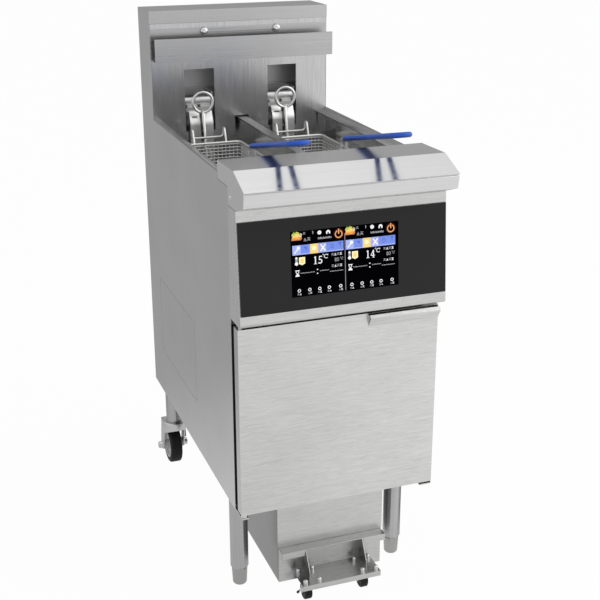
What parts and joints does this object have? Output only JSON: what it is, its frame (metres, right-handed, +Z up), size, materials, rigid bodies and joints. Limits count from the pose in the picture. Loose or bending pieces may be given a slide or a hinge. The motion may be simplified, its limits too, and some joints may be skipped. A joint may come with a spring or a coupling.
{
  "type": "electric deep fryer",
  "caption": "Floor-standing stainless electric deep fryer with side-by-side oil vats, lifting wire baskets, tilting heating elements, touch panel, door, casters and a roll-out oil filter.",
  "frame": {"origin": "on the floor, under the middle of the bounding box", "axes": "+X to the user's right as they face the control panel, +Y to the back, +Z up"},
  "size_m": [0.4428, 0.845, 1.182],
  "materials": {
    "stainless_sheet": "fine brushed grain",
    "zinc_sheet": "dull zinc coating",
    "bright_steel": "polished wire",
    "element_sheath": "dark heat-tinted",
    "valve_steel": "satin",
    "zinc_plate": "satin plating",
    "black_glass": "gloss",
    "display": "lit screen",
    "blue_grip": "dipped plastic",
    "tyre_rubber": "matte",
    "wheel_centre": "satin",
    "black_plastic": "matte",
    "pump_paint": "satin paint"
  },
  "bodies": {
    "cabinet": {"left_side_panel": "stainless_sheet", "right_side_panel": "stainless_sheet", "flue_front": "stainless_sheet", "flue_cap": "stainless_sheet", "basket_hanger": "stainless_sheet", "deck_rails": "stainless_sheet", "front_bezel": "stainless_sheet", "control_housing": "stainless_sheet", "left_vat": "stainless_sheet", "right_vat": "stainless_sheet", "leg_tubes": "stainless_sheet", "door_brackets": "stainless_sheet", "rear_panel": "zinc_sheet", "base_frame": "zinc_sheet", "flue_baffle": "zinc_sheet", "hanger_screws": "bright_steel", "touch_glass": "black_glass", "display_module": "display", "drain_valves": "valve_steel", "drain_pipes": "valve_steel", "oil_pipes": "valve_steel", "temperature_probes": "bright_steel", "filter_pump": "pump_paint", "contactor_box": "zinc_sheet", "cable_gland": "black_plastic"},
    "door": {"door_skin": "stainless_sheet", "door_liner": "stainless_sheet"},
    "filter_cart": {"filter_pan": "stainless_sheet", "splash_hood": "stainless_sheet", "filter_screen": "stainless_sheet", "caster_platform": "stainless_sheet", "platform_bolts": "bright_steel"},
    "left_element_pack": {"left_element_hanger": "bright_steel", "left_heating_element": "element_sheath", "left_lift_ring": "bright_steel"},
    "left_basket": {"left_basket_mesh": "bright_steel", "left_basket_frame": "bright_steel", "left_handle_grip": "blue_grip"},
    "left_swivel": {"left_caster_fork": "zinc_plate"},
    "left_wheel": {"left_caster_tyre": "tyre_rubber", "left_caster_hub": "wheel_centre"},
    "left_brake": {"left_brake_lever": "black_plastic"},
    "left_small_swivel": {"left_small_fork": "zinc_plate"},
    "left_small_roller": {"left_small_wheel": "black_plastic"},
    "left_foot": {"left_levelling_foot": "zinc_plate"},
    "left_valve": {"left_valve_lever": "black_plastic"},
    "right_element_pack": {"right_element_hanger": "bright_steel", "right_heating_element": "element_sheath", "right_lift_ring": "bright_steel"},
    "right_basket": {"right_basket_mesh": "bright_steel", "right_basket_frame": "bright_steel", "right_handle_grip": "blue_grip"},
    "right_swivel": {"right_caster_fork": "zinc_plate"},
    "right_wheel": {"right_caster_tyre": "tyre_rubber", "right_caster_hub": "wheel_centre"},
    "right_brake": {"right_brake_lever": "black_plastic"},
    "right_small_swivel": {"right_small_fork": "zinc_plate"},
    "right_small_roller": {"right_small_wheel": "black_plastic"},
    "right_foot": {"right_levelling_foot": "zinc_plate"},
    "right_valve": {"right_valve_lever": "black_plastic"}
  },
  "joints": [
    {"name": "door_hinge", "type": "hinge", "parent": "cabinet", "child": "door", "pos_m": [-0.207, -0.3551, 0.44], "axis": [0, 0, -1], "range_deg": [0, 110]},
    {"name": "filter_slide", "type": "slide", "parent": "cabinet", "child": "filter_cart", "axis": [0, -1, 0], "range_m": [0, 0.5]},
    {"name": "left_element_tilt", "type": "hinge", "parent": "cabinet", "child": "left_element_pack", "pos_m": [-0.1015, 0.3025, 0.973], "axis": [-1, 0, 0], "range_deg": [0, 35]},
    {"name": "left_basket_lift", "type": "slide", "parent": "left_element_pack", "child": "left_basket", "axis": [0, -0.4226, 0.9063], "range_m": [0, 0.2]},
    {"name": "left_caster_swivel", "type": "hinge", "parent": "cabinet", "child": "left_swivel", "pos_m": [-0.1824, 0.3445, 0.15], "axis": [0, 0, 1], "continuous": true},
    {"name": "left_caster_roll", "type": "hinge", "parent": "left_swivel", "child": "left_wheel", "pos_m": [-0.1824, 0.3725, 0.05], "axis": [1, 0, 0], "continuous": true},
    {"name": "left_caster_brake", "type": "hinge", "parent": "left_swivel", "child": "left_brake", "pos_m": [-0.1824, 0.3645, 0.106], "axis": [-1, 0, 0], "range_deg": [0, 12]},
    {"name": "left_small_caster_swivel", "type": "hinge", "parent": "filter_cart", "child": "left_small_swivel", "pos_m": [-0.065, -0.3525, 0.05], "axis": [0, 0, 1], "continuous": true},
    {"name": "left_small_caster_roll", "type": "hinge", "parent": "left_small_swivel", "child": "left_small_roller", "pos_m": [-0.065, -0.3375, 0.019], "axis": [1, 0, 0], "continuous": true},
    {"name": "left_foot_screw", "type": "slide", "parent": "cabinet", "child": "left_foot", "axis": [0, 0, -1], "range_m": [0, 0.025]},
    {"name": "left_drain_valve", "type": "hinge", "parent": "cabinet", "child": "left_valve", "pos_m": [-0.1343, -0.1195, 0.64], "axis": [-1, 0, 0], "range_deg": [0, 90]},
    {"name": "right_element_tilt", "type": "hinge", "parent": "cabinet", "child": "right_element_pack", "pos_m": [0.1015, 0.3025, 0.973], "axis": [-1, 0, 0], "range_deg": [0, 35]},
    {"name": "right_basket_lift", "type": "slide", "parent": "right_element_pack", "child": "right_basket", "axis": [0, -0.4226, 0.9063], "range_m": [0, 0.2]},
    {"name": "right_caster_swivel", "type": "hinge", "parent": "cabinet", "child": "right_swivel", "pos_m": [0.1824, 0.3445, 0.15], "axis": [0, 0, 1], "continuous": true},
    {"name": "right_caster_roll", "type": "hinge", "parent": "right_swivel", "child": "right_wheel", "pos_m": [0.1824, 0.3725, 0.05], "axis": [1, 0, 0], "continuous": true},
    {"name": "right_caster_brake", "type": "hinge", "parent": "right_swivel", "child": "right_brake", "pos_m": [0.1824, 0.3645, 0.106], "axis": [-1, 0, 0], "range_deg": [0, 12]},
    {"name": "right_small_caster_swivel", "type": "hinge", "parent": "filter_cart", "child": "right_small_swivel", "pos_m": [0.065, -0.3525, 0.05], "axis": [0, 0, 1], "continuous": true},
    {"name": "right_small_caster_roll", "type": "hinge", "parent": "right_small_swivel", "child": "right_small_roller", "pos_m": [0.065, -0.3375, 0.019], "axis": [1, 0, 0], "continuous": true},
    {"name": "right_foot_screw", "type": "slide", "parent": "cabinet", "child": "right_foot", "axis": [0, 0, -1], "range_m": [0, 0.025]},
    {"name": "right_drain_valve", "type": "hinge", "parent": "cabinet", "child": "right_valve", "pos_m": [0.1343, -0.1195, 0.64], "axis": [-1, 0, 0], "range_deg": [0, 90]}
  ]
}
